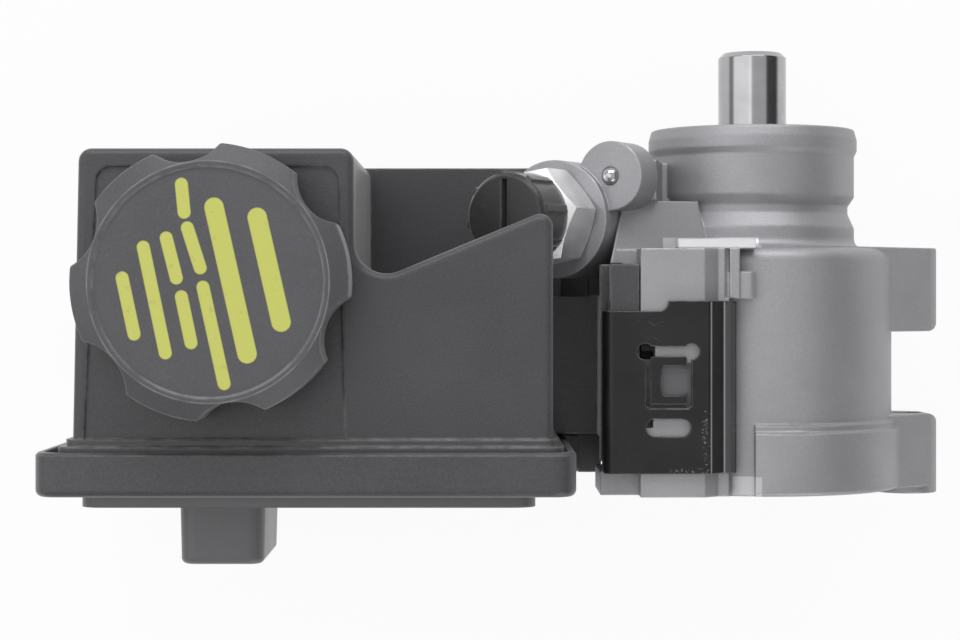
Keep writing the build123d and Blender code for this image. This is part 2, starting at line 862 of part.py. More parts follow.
with BuildPart() as pump_housing:
    with BuildSketch(Plane.XY):
        with BuildLine():
            FilletPolyline(
                (0, 0),
                (neck_radius, 0),
                (nose_radius, -nose_length / 2),
                (nose_radius, -nose_length),
                (neck_radius, -nose_foot),
                (neck_radius, -neck_end),
                (waist_radius, -waist_depth),
                (waist_radius, -waist_end),
                (neck_radius, -neck_foot_depth),
                (neck_radius, -shoulder_depth),
                (barrel_radius, -shoulder_depth),
                (barrel_radius, -barrel_rear),
                (barrel_radius + ridge_height, -barrel_rear),
                (barrel_radius + ridge_height, -barrel_rear - ridge_width),
                (flange_radius, -barrel_rear - ridge_width),
                (flange_radius, -housing_length),
                (0, -housing_length),
                radius=[0.6, 2.0, 0.8, 0.8, 1.0, 0.8, 0.8, 1.5, 2.5, 3.4, 0.4, 0.4, 0.4, 0.6, 1.2],
            )
            Line((0, -housing_length), (0, 0))
        make_face()
    revolve(axis=Axis.Y)
    with BuildSketch(deep(barrel_rear - cast_round)):
        with Locations((flange_left_x, 0)):
            Rectangle(3 * flange_radius, 3 * flange_radius, align=(Align.MAX, Align.CENTER))
        Circle(barrel_radius, mode=Mode.SUBTRACT)
    extrude(amount=housing_length - barrel_rear + cast_round, mode=Mode.SUBTRACT)
    for lug_x, lug_z in ((ear_x, ear_z), (low_ear_x, low_ear_z)):
        extrude(lug_plan(front_ear_start, lug_x, lug_z), amount=front_ear_end - front_ear_start)
        extrude(lug_plan(rear_ear_start, lug_x, lug_z), amount=housing_length - rear_ear_start)
        with BuildSketch(deep(rear_ear_start)):
            with Locations((lug_x, lug_z)):
                Circle(ear_radius)
        extrude(amount=rear_ear_length)
    for depth, inward, radius in (
        (front_ear_start, 1, ear_round),
        (front_ear_end, -1, ear_end_round),
        (rear_ear_start, 1, ear_end_round),
        (rear_ear_end, -1, ear_round),
    ):
        extrude(lug_corner(depth, inward, radius), amount=2 * ear_radius, both=True, mode=Mode.SUBTRACT)
    for upward in (1, -1):
        extrude(
            pad_outline(
                pad_front,
                upward,
                [
                    (stop_groove_x - stop_groove_width, rail_low_z),
                    (stop_groove_x - stop_groove_width, rail_low_z - stop_groove_depth),
                    (stop_groove_x, rail_low_z - stop_groove_depth),
                    (stop_groove_x, rail_low_z),
                    (rail_right_x, rail_low_z),
                    (rail_right_x, 0),
                ],
            ),
            amount=clip_bay_front - pad_front,
        )
        extrude(
            pad_outline(
                clip_bay_front,
                upward,
                [
                    (bay_right_x, rail_low_z),
                    (bay_right_x, rail_low_z - rail_right_head),
                    (bay_neck_x, rail_low_z - rail_right_head),
                    (bay_neck_x, 0),
                ],
            ),
            amount=pad_rear - clip_bay_front,
        )
    with BuildSketch(deep(stop_tab_front)):
        with Locations((rail_right_x, rail_low_z - stop_tab_drop - stop_tab_width)):
            RectangleRounded(2 * stop_tab_width, 2 * stop_tab_width, 1.5)
    extrude(amount=clip_bay_front - stop_tab_front)
    extrude(
        outline(
            deep(rear_wing_front),
            (rear_wing_x, rear_wing_bottom),
            (rear_wing_x, rear_wing_top),
            (rail_step_x, rear_wing_top),
            (rail_step_x, rear_wing_bottom),
        ),
        amount=pad_rear - rear_wing_front,
    )
    with BuildSketch(tilted(valve_face)):
        Circle(valve_boss_radius)
    extrude(amount=-valve_boss_length)
    with BuildSketch(tilted(ball_boss_face)):
        Circle(ball_boss_radius)
    extrude(amount=-ball_boss_length)
    extrude(
        outline(
            -deep(rail_front - sliding_gap),
            (pad_face_x - pad_rise, saddle_left_drop - barrel_radius),
            (-neck_radius / 2, saddle_right_drop - neck_radius),
            (-neck_radius / 2, 0),
            (pad_face_x + cast_round, 0),
        ),
        amount=rail_front - sliding_gap - saddle_front,
        taper=saddle_slope,
    )
    extrude(
        outline(
            deep(ball_boss_depth - ball_boss_radius / 2),
            (ball_boss_face.X - cast_round, ball_boss_face.Z - ball_boss_length - cast_round),
            (-neck_radius - cast_round / 2, ball_boss_face.Z - ball_boss_radius / 2),
            (-waist_radius, waist_radius / 2),
            (-waist_radius / 2, waist_radius / 2),
            (-waist_radius / 2, 0),
            (pad_face_x + cast_round, 0),
        ),
        amount=saddle_front - ball_boss_depth + ball_boss_radius / 2,
    )
    with BuildSketch(Plane.YZ.offset(pad_face_x + front_chamfer_left_in)):
        with BuildLine():
            Polyline(
                (-pad_front, rail_low_z),
                (front_chamfer - pad_front, rail_low_z - front_chamfer),
                (front_chamfer - pad_front, pad_half_height),
                (-pad_front, pad_half_height),
                close=True,
            )
        make_face()
    extrude(amount=front_chamfer_right_in - front_chamfer_left_in)
    with BuildSketch(level(rail_top_z)):
        with Locations((clip_hole_xs[0], -(clip_hole_depth + clip_slot_depth) / 2)):
            Rectangle(2 * clip_hole_radius, clip_slot_depth - clip_hole_depth)
    extrude(amount=-rail_head, mode=Mode.SUBTRACT)

    # Bores along the shaft, from the nose to the rear
    for radius, front, rear in (
        (bearing_outer_radius, 0, bearing_rear + seat_gap),
        (bearing_outer_radius + bearing_ring_groove, bearing_ring_depth - press_gap, bearing_front),
        (seal_radius, 0, seal_rear + seat_gap),
        (shaft_radius + bushing_wall, 0, cavity_front),
        (cavity_radius, cavity_front, rear_ear_end),
        (cavity_radius + end_ring_groove, cover_rear + press_gap, cover_rear + 2 * end_ring_wire),
    ):
        revolve(ring_section(0, radius, front, rear), axis=Axis.Y, mode=Mode.SUBTRACT)

    # Flow control bore, ball plug hole, lug bores and inlet
    with BuildSketch(tilted(valve_face)):
        Circle(valve_bore_radius)
    extrude(amount=-valve_bore_depth, mode=Mode.SUBTRACT)
    with BuildSketch(tilted(valve_face)):
        Circle(thread_radius)
    extrude(amount=-thread_length - seat_gap, mode=Mode.SUBTRACT)
    with BuildSketch(tilted(ball_boss_face)):
        Circle(ball_plug_radius + press_gap)
    extrude(amount=-ball_plug_hole_depth, mode=Mode.SUBTRACT)
    with BuildSketch(deep(front_ear_start)):
        with Locations((ear_x, ear_z), (low_ear_x, low_ear_z)):
            Circle(ear_bore_radius)
    extrude(amount=rear_ear_end - front_ear_start, mode=Mode.SUBTRACT)
    with BuildSketch(Plane.YZ.offset(pad_face_x)):
        with Locations((-inlet_depth, 0)):
            Circle(inlet_radius)
    extrude(amount=-pad_face_x - cavity_radius + cast_round, mode=Mode.SUBTRACT)
    with BuildSketch(Plane.YZ.offset(pad_face_x)):
        with Locations((-inlet_depth, 0)):
            Circle(inlet_seat_radius)
    extrude(amount=inlet_seat_depth, mode=Mode.SUBTRACT)
pump_housing.part.label = "pump_housing"
export_step(pump_housing.part, "parts/pump_housing.step")

# Seal round the tank's spigot, in the pad's seat
spigot_radius = inlet_radius - 2 * running_gap
inlet_seal_wire = (inlet_seat_radius - spigot_radius) / 2 - running_gap
with BuildPart() as inlet_seal:
    with BuildSketch(Plane.XY):
        with Locations(
            (pad_face_x + inlet_seal_wire, spigot_radius + inlet_seal_wire + running_gap - inlet_depth)
        ):
            Circle(inlet_seal_wire)
    revolve(axis=Axis((0, -inlet_depth, 0), (1, 0, 0)))
inlet_seal.part.label = "inlet_seal"
export_step(inlet_seal.part, "parts/inlet_seal.step")


def rounded(plane, corners, radii):
    """A closed outline on a plane, each corner with a radius of its own."""
    with BuildSketch(plane) as shape:
        with BuildLine():
            FilletPolyline(*corners, radius=radii, close=True)
        make_face()
    return shape.sketch


def tank_plan(height, inset, front_depth, tip_depth, rear):
    """The tank seen from above: a block with a wing that reaches to the right behind a notch."""
    corner = tank_corner - inset / 2
    return rounded(
        level(height),
        [
            (tank_left_front_x + inset, -tank_front - inset),
            (tank_block_right_x - inset, -tank_front - inset),
            (tank_block_right_x - inset, -front_depth - inset),
            (tank_right_x - inset, -tip_depth - inset),
            (tank_right_x - inset, -rear),
            (tank_left_rear_x + inset, -rear),
        ],
        [corner, corner, notch_radius + inset, corner, 0, 0],
    )


def shelf_plan(height, inset, rear):
    """The low part of the tank seen from above."""
    corner = tank_corner - inset / 2
    return rounded(
        level(height),
        [
            (tank_left_front_x + inset, -tank_front - inset),
            (tank_low_right_x - inset, -tank_front - inset),
            (tank_low_right_x - inset, -rear),
            (tank_left_rear_x + inset, -rear),
        ],
        [corner, corner, 0, 0],
    )


def stepped(depth, left, right, low_right, top, low_top, bottom, corner):
    """The tank's rear outline, wider on the right in its low part."""
    return rounded(
        deep(depth),
        [
            (left, top),
            (right, top),
            (right, low_top),
            (low_right, low_top),
            (low_right, bottom),
            (left, bottom),
        ],
        [corner, corner, corner / 2, corner / 2, corner, corner],
    )


def around_tank(depth, left, reach, top_reach, corner):
    """The tank's own rear outline, grown by a reach."""
    return stepped(
        depth,
        left,
        tank_right_x + reach,
        tank_low_right_x + reach,
        tank_top_z + top_reach,
        tank_shelf_z + reach,
        tank_bottom_z - reach,
        corner,
    )


def rim_outline(depth, inset):
    """The outline of the rear cover, moved inwards by an inset."""
    return stepped(
        depth,
        rim_left_x + inset,
        rim_right_x - inset,
        rim_low_right_x - inset,
        rim_top_z - inset,
        rim_low_top_z - inset,
        rim_bottom_z + inset,
        rim_corner,
    )


# Tank front shell: block, wing roof, low shelf, flange, filler neck and the mounting plate
plate_right_x = pad_face_x - sliding_gap
plate_left_x = plate_right_x - plate_thickness_x
plate_reach = pad_half_height + sliding_gap
tank_hook_z = rail_top_z - rail_head - seat_gap
tank_rail_left_x = clip_left_x + clip_steel + seat_gap
tank_rail_neck_x = tank_rail_left_x + clip_hook + seat_gap
tank_rail_shoulder_z = tank_hook_z - clip_steel - seat_gap
spigot_start_x = tank_right_x - tank_wall
with BuildPart() as reservoir_front_shell:
    extrude(
        tank_plan(tank_shelf_z - tank_wall, 0, tank_wall_depth, tank_wall_depth, tank_rear),
        amount=tank_top_z - tank_shelf_z + tank_wall,
    )
    extrude(
        tank_plan(tank_top_z - wing_roof, 0, notch_corner_depth, wing_corner_depth, tank_rear),
        amount=wing_roof,
    )
    fillet(reservoir_front_shell.faces().sort_by(Axis.Z)[-1].edges(), tank_edge_round)
    extrude(shelf_plan(tank_bottom_z, 0, tank_rear), amount=tank_shelf_z - tank_bottom_z)
    extrude(
        around_tank(tank_foot_front, tank_left_rear_x - tank_foot, tank_foot, tank_foot, tank_corner),
        amount=tank_rear - tank_foot_front,
    )
    extrude(
        around_tank(
            tank_flange_front, tank_flange_left_x, tank_flange_reach, tank_flange_reach, tank_corner
        ),
        amount=tank_flange_rear - tank_flange_front,
    )

    # Hollow it out from the rear
    extrude(
        tank_plan(
            tank_bottom_z + tank_wall, tank_wall, tank_wall_depth, tank_wall_depth, tank_rear + tank_wall
        ),
        amount=tank_top_z - tank_bottom_z - 2 * tank_wall,
        mode=Mode.SUBTRACT,
    )
    extrude(
        shelf_plan(tank_bottom_z + tank_wall, tank_wall, tank_rear + tank_wall),
        amount=tank_shelf_z - tank_bottom_z - 2 * tank_wall,
        mode=Mode.SUBTRACT,
    )

    # Shallow panel on the top face, then the filler neck
    extrude(
        rounded(
            level(tank_top_z),
            [
                (panel_left_front_x, -panel_front),
                (panel_right_front_x, -panel_front),
                (panel_right_rear_x, -tank_foot_front),
                (panel_left_rear_x, -tank_foot_front),
            ],
            [panel_corner, panel_corner, 0, 0],
        ),
        amount=-panel_recess,
        mode=Mode.SUBTRACT,
    )
    with BuildSketch(level(tank_top_z - tank_wall)):
        with Locations((cap_x, cap_y)):
            Circle(neck_outer_radius)
    extrude(amount=tank_wall + neck_rise)
    with BuildSketch(level(tank_top_z - tank_wall)):
        with Locations((cap_x, cap_y)):
            Circle(neck_inner_radius)
    extrude(amount=tank_wall + neck_rise, mode=Mode.SUBTRACT)

    # Ribs and the plate, with a rail above and below
    with BuildSketch(deep(plate_front)):
        for rib_height in rib_heights:
            with Locations(((tank_right_x + plate_left_x) / 2, rib_height)):
                Rectangle(plate_left_x - tank_right_x + 2 * press_gap, rib_thickness)
        with Locations(((plate_left_x + plate_right_x) / 2, 0)):
            Rectangle(plate_thickness_x, 2 * plate_reach)
    extrude(amount=plate_rear - plate_front)
    with BuildSketch(deep(low_rib_front)):
        with Locations(((tank_low_right_x + plate_left_x) / 2, low_rib_height)):
            Rectangle(plate_left_x - tank_low_right_x + 2 * press_gap, rib_thickness)
    extrude(amount=plate_rear - low_rib_front)
    for upward in (1, -1):
        rail_corners = [
            (plate_left_x, plate_reach),
            (plate_left_x, tank_rail_shoulder_z),
            (tank_rail_neck_x, tank_rail_shoulder_z),
            (tank_rail_neck_x, rail_top_z - rail_head),
            (tank_rail_left_x, rail_top_z - rail_head),
            (tank_rail_left_x, rail_top_z),
            (rail_left_x - sliding_gap, rail_top_z),
            (rail_left_x - sliding_gap, plate_reach),
        ]
        rail_section = outline(deep(rail_front), *[(x, upward * z) for x, z in rail_corners])
        extrude(rail_section, amount=rail_rear - rail_front)
    with BuildSketch(Plane.YZ.offset(spigot_start_x)):
        with Locations((-inlet_depth, 0)):
            Circle(spigot_boss_radius)
    extrude(amount=plate_right_x - spigot_start_x)
    with BuildSketch(Plane.YZ.offset(plate_right_x)):
        with Locations((-inlet_depth, 0)):
            Circle(spigot_radius)
    extrude(amount=spigot_reach)
    with BuildSketch(Plane.YZ.offset(plate_right_x + spigot_reach)):
        with Locations((-inlet_depth, 0)):
            Circle(inlet_bore_radius)
    extrude(amount=spigot_start_x - tank_wall - plate_right_x - spigot_reach, mode=Mode.SUBTRACT)
reservoir_front_shell.part.label = "reservoir_front_shell"
export_step(reservoir_front_shell.part, "parts/reservoir_front_shell.step")

# Rear cover: rim, floor and raised pan, with the return boss and its hose nipple
cover_floor_front = tank_rear + seat_gap
boss_round = 4.0
boss_end_round = 1.4
boss_draft = 1.5
with BuildPart() as reservoir_rear_cover:
    extrude(rim_outline(rim_front, 0), amount=rim_rear - rim_front)
    fillet(reservoir_rear_cover.faces().sort_by(Axis.Y)[0].edges(), rim_edge_round)
    with BuildSketch(deep(rim_front)):
        with Locations((rim_lug_x, rim_low_top_z - rim_lug_height / 2)):
            Rectangle(
                rim_lug_x - rim_low_right_x + rim_wall, rim_lug_height, align=(Align.MAX, Align.CENTER)
            )
    extrude(amount=rim_rear - rim_front)
    extrude(rim_outline(rim_rear, pan_inset), amount=pan_rise)
    extrude(rim_outline(rim_front, rim_wall), amount=cover_floor_front - rim_front, mode=Mode.SUBTRACT)
    with BuildSketch(deep(rim_rear)):
        with Locations((return_boss_x, (return_boss_top_z + return_boss_bottom_z) / 2)):
            RectangleRounded(return_boss_width, return_boss_top_z - return_boss_bottom_z, boss_round)
    extrude(amount=return_boss_rear - rim_rear, taper=boss_draft)
    fillet(reservoir_rear_cover.faces().sort_by(Axis.Y)[0].edges(), boss_end_round)
    for radius, reach in ((nipple_radius, nipple_length), (nipple_collar_radius, nipple_collar_height)):
        with BuildSketch(level(return_boss_bottom_z + boss_round)):
            with Locations((return_boss_x, -nipple_depth)):
                Circle(radius)
        extrude(amount=-reach - boss_round)
    chamfer(reservoir_rear_cover.faces().sort_by(Axis.Z)[0].edges(), nipple_tip_chamfer)
    with BuildSketch(level(return_boss_bottom_z - nipple_length)):
        with Locations((return_boss_x, -nipple_depth)):
            Circle(nipple_bore_radius)
    extrude(amount=nipple_length + (return_boss_top_z - return_boss_bottom_z) / 2, mode=Mode.SUBTRACT)
    with BuildSketch(deep(cover_floor_front)):
        with Locations((return_boss_x, (return_boss_top_z + return_boss_bottom_z) / 2)):
            Circle(nipple_bore_radius)
    extrude(amount=nipple_depth - cover_floor_front, mode=Mode.SUBTRACT)
reservoir_rear_cover.part.label = "reservoir_rear_cover"
export_step(reservoir_rear_cover.part, "parts/reservoir_rear_cover.step")

# Filler cap with six grips, a sealing ceiling and a short stem, and its gasket
neck_top_z = tank_top_z + neck_rise
ceiling_z = neck_top_z + sliding_gap + gasket_thickness
cap_room_radius = neck_outer_radius + 2 * sliding_gap
scallop_circle = cap_valley_radius + cap_scallop_radius
scallop_angle = cap_lobe_angle + 180 / cap_lobes
lobe_round = 1.0
with BuildPart() as filler_cap:
    with BuildSketch(level(cap_bottom_z)) as cap_plan:
        with Locations((cap_x, cap_y)):
            Circle(cap_lobe_radius)
            with PolarLocations(scallop_circle, cap_lobes, start_angle=scallop_angle):
                Circle(cap_scallop_radius, mode=Mode.SUBTRACT)
        fillet(cap_plan.vertices(), lobe_round)
    extrude(amount=cap_top_z - cap_bottom_z)
    with BuildSketch(Plane(origin=(cap_x, cap_y, 0), x_dir=(1, 0, 0), z_dir=(0, -1, 0))):
        with BuildLine():
            Polyline(
                (cap_disc_radius + cap_rim_width, cap_top_z),
                (cap_lobe_radius + cap_rim_width, cap_top_z),
                (cap_lobe_radius + cap_rim_width, cap_top_z - cap_slope_drop),
                close=True,
            )
        make_face()
    revolve(axis=Axis((cap_x, cap_y, 0), (0, 0, 1)), mode=Mode.SUBTRACT)
    with BuildSketch(level(cap_top_z)):
        with Locations((cap_x, cap_y)):
            Circle(cap_disc_radius)
    extrude(amount=-cap_disc_recess, mode=Mode.SUBTRACT)
    with BuildSketch(level(cap_bottom_z)):
        with Locations((cap_x, cap_y)):
            Circle(cap_room_radius)
    extrude(amount=ceiling_z - cap_bottom_z, mode=Mode.SUBTRACT)
    with BuildSketch(level(cap_stem_end_z)):
        with Locations((cap_x, cap_y)):
            Circle(cap_stem_radius)
    extrude(amount=ceiling_z - cap_stem_end_z)
filler_cap.part.label = "filler_cap"
export_step(filler_cap.part, "parts/filler_cap.step")

with BuildPart() as cap_gasket:
    with BuildSketch(level(ceiling_z - gasket_thickness)):
        with Locations((cap_x, cap_y)):
            Circle(neck_outer_radius)
            Circle(cap_stem_radius + running_gap, mode=Mode.SUBTRACT)
    extrude(amount=gasket_thickness)
cap_gasket.part.label = "cap_gasket"
export_step(cap_gasket.part, "parts/cap_gasket.step")

# Spring clips, which hook over the tank's rail on one side and the pump's on the other
clip_top_z = rail_top_z + seat_gap + clip_steel
clip_low_z = clip_top_z - rail_drop
pump_hook_z = rail_low_z - rail_right_head - seat_gap
clip_bend = 2.2
with BuildPart() as upper_clip:
    extrude(
        rounded(
            deep(clip_front),
            [
                (clip_left_x, tank_hook_z - clip_steel),
                (clip_left_x, clip_top_z),
                (rail_step_x + clip_steel / 2, clip_top_z),
                (rail_slope_x + clip_steel / 2, clip_low_z),
                (clip_right_x, clip_low_z),
                (clip_right_x, pump_hook_z - clip_steel),
                (clip_right_x - clip_steel - clip_hook, pump_hook_z - clip_steel),
                (clip_right_x - clip_steel - clip_hook, pump_hook_z),
                (clip_right_x - clip_steel, pump_hook_z),
                (clip_right_x - clip_steel, clip_low_z - clip_steel),
                (rail_slope_x, clip_low_z - clip_steel),
                (rail_step_x, clip_top_z - clip_steel),
                (clip_left_x + clip_steel, clip_top_z - clip_steel),
                (clip_left_x + clip_steel, tank_hook_z),
                (clip_left_x + clip_steel + clip_hook, tank_hook_z),
                (clip_left_x + clip_steel + clip_hook, tank_hook_z - clip_steel),
            ],
            [0.6, clip_bend, 0.6, 0.6, clip_bend, 0.6, 0.3, 0.3, 0.2, 0.2, 0.6, 0.6, 0, 0.2, 0.3, 0.3],
        ),
        amount=clip_rear - clip_front,
    )
    with BuildSketch(level(clip_top_z)):
        with Locations((clip_left_x + clip_step_width / 2, -clip_front)):
            RectangleRounded(clip_step_width + clip_bend, 2 * (clip_left_front - clip_front), clip_bend)
        with Locations(*[(x, -clip_hole_depth) for x in clip_hole_xs]):
            Circle(clip_hole_radius)
        with Locations((tongue_x, -clip_slot_depth)):
            SlotOverall(clip_slot_length, clip_slot_width)
        with Locations((tongue_x + window_shift, -window_depth)):
            RectangleRounded(window_width, window_length, tongue_cut)
        with Locations((tongue_x, -clip_hole_depth)):
            Rectangle(clip_hole_pitch, tongue_gap)
        for side in (-1, 1):
            with Locations((tongue_x + side * tongue_width / 2, -(clip_hole_depth + tongue_rear) / 2)):
                Rectangle(tongue_cut, tongue_rear - clip_hole_depth)
    extrude(amount=-2 * clip_steel, mode=Mode.SUBTRACT)
    with BuildSketch(level(rail_top_z)):
        with Locations((clip_left_x, -clip_front)):
            Rectangle(clip_bend, 2 * (clip_left_front - clip_front))
    extrude(amount=-2 * rail_head, mode=Mode.SUBTRACT)
    with BuildSketch(level(clip_top_z)):
        with Locations((tongue_x, -tongue_rear)):
            Rectangle(tongue_width, tongue_cut)
    extrude(amount=-tongue_fold, mode=Mode.SUBTRACT)
upper_clip.part.label = "upper_clip"
export_step(upper_clip.part, "parts/upper_clip.step")

with BuildPart() as lower_clip:
    mirror(upper_clip.part, about=Plane.XY)
lower_clip.part.label = "lower_clip"
export_step(lower_clip.part, "parts/lower_clip.step")
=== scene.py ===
# %% [markdown]
# A power steering pump, seen from straight above. A cast aluminium body holds a steel shaft,
# and two black spring clips hold a black plastic fluid tank to its side. The shapes come from
# the CAD model, which loads as a frame in metres. What is left to do here is the looks: how
# cast metal, ground steel, moulded nylon and coated spring steel take the light.

# %% Load the frame
import bpy
import bmesh
import math
from mathutils import Matrix, Vector
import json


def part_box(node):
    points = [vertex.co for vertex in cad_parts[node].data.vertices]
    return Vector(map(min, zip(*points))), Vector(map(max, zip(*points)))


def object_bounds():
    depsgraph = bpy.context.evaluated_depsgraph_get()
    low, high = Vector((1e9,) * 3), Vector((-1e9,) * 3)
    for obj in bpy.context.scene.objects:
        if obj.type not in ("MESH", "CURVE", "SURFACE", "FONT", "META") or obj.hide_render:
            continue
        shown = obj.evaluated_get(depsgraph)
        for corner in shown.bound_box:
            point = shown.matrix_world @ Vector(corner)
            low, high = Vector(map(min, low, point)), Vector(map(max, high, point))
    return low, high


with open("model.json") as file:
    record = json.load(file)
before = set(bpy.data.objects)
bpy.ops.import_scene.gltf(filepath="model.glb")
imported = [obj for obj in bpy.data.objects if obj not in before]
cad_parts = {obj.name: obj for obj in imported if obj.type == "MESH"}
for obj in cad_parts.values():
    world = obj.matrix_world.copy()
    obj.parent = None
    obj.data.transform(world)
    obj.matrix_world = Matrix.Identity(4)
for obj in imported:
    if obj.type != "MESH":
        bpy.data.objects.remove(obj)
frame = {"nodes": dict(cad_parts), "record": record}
cad_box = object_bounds()
nodes = frame["nodes"]
print("CAD pieces:", len(nodes))

# %% [markdown]
# The photo looks straight down on the pump from a little over half a metre, with a lens near
# 85 mm. The camera therefore stands at that height over the middle and isn't turned at all:
# an unturned camera in Blender looks down, with +Y at the top of the picture. The small shift
# moves the picture's middle a little towards the pump's back, as cropping the photo would.

# %% Camera
camera_place = (-0.0685, -0.0424, 0.572)
lens_mm = 85.2
sensor_mm = 36.0
picture_width_pixels = 960
aim_shift_pixels = -20
camera = bpy.data.objects.new("camera", bpy.data.cameras.new("camera"))
bpy.context.scene.collection.objects.link(camera)
camera.location = camera_place
camera.data.lens = lens_mm
camera.data.sensor_width = sensor_mm
camera.data.shift_y = aim_shift_pixels / picture_width_pixels
camera.data.clip_end = 20.0
bpy.context.scene.camera = camera
bpy.context.scene.view_settings.view_transform = "Standard"
print("camera height above the shaft:", camera.location.z)

# %% [markdown]
# Every finish below is a small network of shader nodes. Writing each link by hand hides what
# a network does, so a helper adds a node and fills its sockets in one line. A socket is named,
# or numbered as i0, i1 and so on, and gets either a plain value or the output of another node.
# The other helpers are the few nodes that return everywhere.

# %% Node helpers
def fill(tree, plug, value):
    """Links a socket to another node's output, or sets its value."""
    if isinstance(value, bpy.types.NodeSocket):
        tree.links.new(value, plug)
    else:
        plug.default_value = value


def add(tree, kind, settings=None, **sockets):
    """Adds a node, sets its properties, then sets or links its sockets."""
    made = tree.nodes.new("ShaderNode" + kind)
    for name, value in (settings or {}).items():
        setattr(made, name, value)
    for name, value in sockets.items():
        numbered = name[1:].isdigit()
        plug = made.inputs[int(name[1:])] if numbered else made.inputs[name.replace("_", " ")]
        fill(tree, plug, value)
    return made


def calc(tree, operation, *values):
    """A Math node's result."""
    plugs = {f"i{n}": value for n, value in enumerate(values)}
    return add(tree, "Math", {"operation": operation}, **plugs).outputs[0]


def vector(tree, operation, *values):
    """A Vector Math node."""
    plugs = {f"i{n}": value for n, value in enumerate(values)}
    return add(tree, "VectorMath", {"operation": operation}, **plugs)


def spread(tree, value, low, high, out_low=0.0, out_high=1.0):
    """Stretches a value from one range to another, and holds it at the ends."""
    return add(tree, "MapRange", None, Value=value, i1=low, i2=high, i3=out_low, i4=out_high).outputs[0]


def blend_colours(tree, mask, below, above):
    """Lays one colour over another where the mask is 1."""
    mixed = add(tree, "Mix", {"data_type": "RGBA"}, i0=mask, i6=below, i7=above)
    return mixed.outputs[2]


def rgb(red, green, blue):
    """An opaque colour for a socket."""
    return (red, green, blue, 1.0)


def flattened(tree, place):
    """The same place with no height, so that a distance is measured as seen from above."""
    apart = add(tree, "SeparateXYZ", None, Vector=place).outputs
    return add(tree, "CombineXYZ", None, X=apart[0], Y=apart[1], Z=0.0).outputs[0]


helpers = [fill, add, calc, vector, spread, blend_colours, rgb, flattened]
print("node helpers:", [helper.__name__ for helper in helpers])

# %% [markdown]
# Light decides whether metal looks like metal. A polished cylinder mirrors its surroundings,
# so the shaft in the photo is a map of the studio: a bright band left of its middle, a plainer
# one over it, a nearly black one right of it, and the white table along both its sides. Each
# band's place gives the height of what it mirrors. So there is a broad soft lamp up on the
# left, a weak one overhead, a stronger one beyond the top of the picture, a small fill near its
# bottom right corner, and a dark card that stands low on the right.

# %% Lamps and surroundings
pump_middle = Vector((-0.06, -0.04, 0.02))
surroundings_strength = 0.38


def softbox(name, place, width, height, watts):
    """A rectangular lamp that faces the pump."""
    lamp = bpy.data.lights.new(name, "AREA")
    lamp.shape = "RECTANGLE"
    lamp.size = width
    lamp.size_y = height
    lamp.energy = watts
    made = bpy.data.objects.new(name, lamp)
    made.location = place
    made.rotation_euler = (pump_middle - Vector(place)).to_track_quat("-Z", "Y").to_euler()
    bpy.context.scene.collection.objects.link(made)


softbox("left_softbox", (-0.85, 0.05, 0.98), width=1.2, height=1.6, watts=6.4)
softbox("overhead_softbox", (0.30, -0.05, 1.25), width=1.2, height=1.6, watts=1.9)
softbox("top_softbox", (-0.05, 1.15, 0.75), width=1.6, height=0.7, watts=13.0)
softbox("front_softbox", (0.55, -1.05, 0.50), width=1.0, height=0.5, watts=6.5)

world = bpy.data.worlds.new("studio")
world.use_nodes = True
bpy.context.scene.world = world
surroundings = world.node_tree.nodes["Background"]
surroundings.inputs["Color"].default_value = rgb(1.0, 1.0, 1.0)
surroundings.inputs["Strength"].default_value = surroundings_strength
print("lamps:", [lamp.name for lamp in bpy.data.lights])

# %% [markdown]
# The pump stands on a white table that runs out of the picture. Its white mustn't come from
# stronger lamps, which would bleach the plastic, so the camera sees it mostly as an even white
# and only partly as a lit surface. That part keeps a soft shadow under the pump. The camera
# doesn't see the dark card, but the shaft and the side of the casting mirror it.

# %% Table and dark card
table_side = 8.0
table_gap = 0.0005
even_share = 0.93
card_width = 0.36
card_length = 1.1
card_place = (0.42, 0.0, 0.215)
card_tilt = math.radians(63)


def flat_card(name, width, depth, matrix):
    """A rectangle made from a one-square grid, put in place in its own mesh."""
    shape = bmesh.new()
    bmesh.ops.create_grid(shape, x_segments=1, y_segments=1, size=0.5)
    bmesh.ops.scale(shape, vec=(width, depth, 1.0), verts=shape.verts)
    bmesh.ops.transform(shape, matrix=matrix, verts=shape.verts)
    mesh = bpy.data.meshes.new(name)
    shape.to_mesh(mesh)
    shape.free()
    card = bpy.data.objects.new(name, mesh)
    bpy.context.scene.collection.objects.link(card)
    return card


under_pump = Matrix.Translation((0.0, 0.0, cad_box[0][2] - table_gap))
table = flat_card("table", table_side, table_side, under_pump)
white = bpy.data.materials.new("table_white")
white.use_nodes = True
tree = white.node_tree
tree.nodes.clear()
seen = add(tree, "LightPath")
straight = calc(tree, "MAXIMUM", seen.outputs["Is Camera Ray"], seen.outputs["Is Glossy Ray"])
straight = calc(tree, "MAXIMUM", straight, seen.outputs["Is Transmission Ray"])
lit = add(tree, "BsdfDiffuse", None, Color=rgb(0.82, 0.82, 0.82))
even = add(tree, "Emission", None, Color=rgb(1.0, 1.0, 1.0), Strength=1.0)
share = calc(tree, "MULTIPLY", straight, even_share)
both = add(tree, "MixShader", None, i0=share, i1=lit.outputs[0], i2=even.outputs[0])
add(tree, "OutputMaterial", None, Surface=both.outputs[0])
table.data.materials.append(white)

beside_pump = Matrix.Translation(card_place) @ Matrix.Rotation(card_tilt, 4, "Y")
card = flat_card("dark_card", card_width, card_length, beside_pump)
card.visible_camera = False
black = bpy.data.materials.new("card_black")
black.use_nodes = True
shader = black.node_tree.nodes["Principled BSDF"]
shader.inputs["Base Color"].default_value = rgb(0.10, 0.10, 0.10)
shader.inputs["Roughness"].default_value = 0.9
card.data.materials.append(black)
print("table at", round(table.data.vertices[0].co.z, 4))

